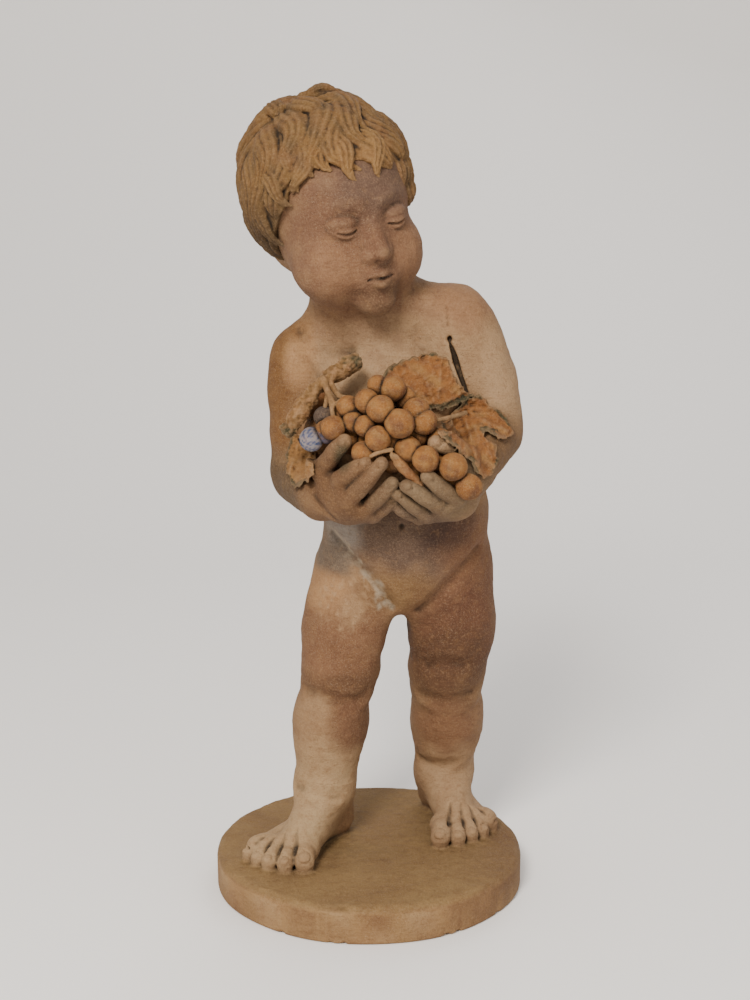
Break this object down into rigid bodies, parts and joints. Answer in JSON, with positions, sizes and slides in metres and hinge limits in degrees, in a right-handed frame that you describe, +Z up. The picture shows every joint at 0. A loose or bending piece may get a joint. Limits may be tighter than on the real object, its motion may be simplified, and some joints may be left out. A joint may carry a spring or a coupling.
{
  "type": "terracotta putto figure",
  "caption": "Standing terracotta putto on a round base, head bent to one side, holding a bunch of grapes and vine leaves against its chest.",
  "frame": {"origin": "centre of the round base's underside", "axes": "+Z up the figure, -Y out of its front, +X to the figure's own left"},
  "size_m": [0.2798, 0.274, 0.7],
  "materials": {
    "terracotta": "unglazed fired clay, matte, with a worn brown wash, pale dust and ochre hair and base"
  },
  "bodies": {
    "root": {"putto_figure": "terracotta"}
  },
  "joints": []
}
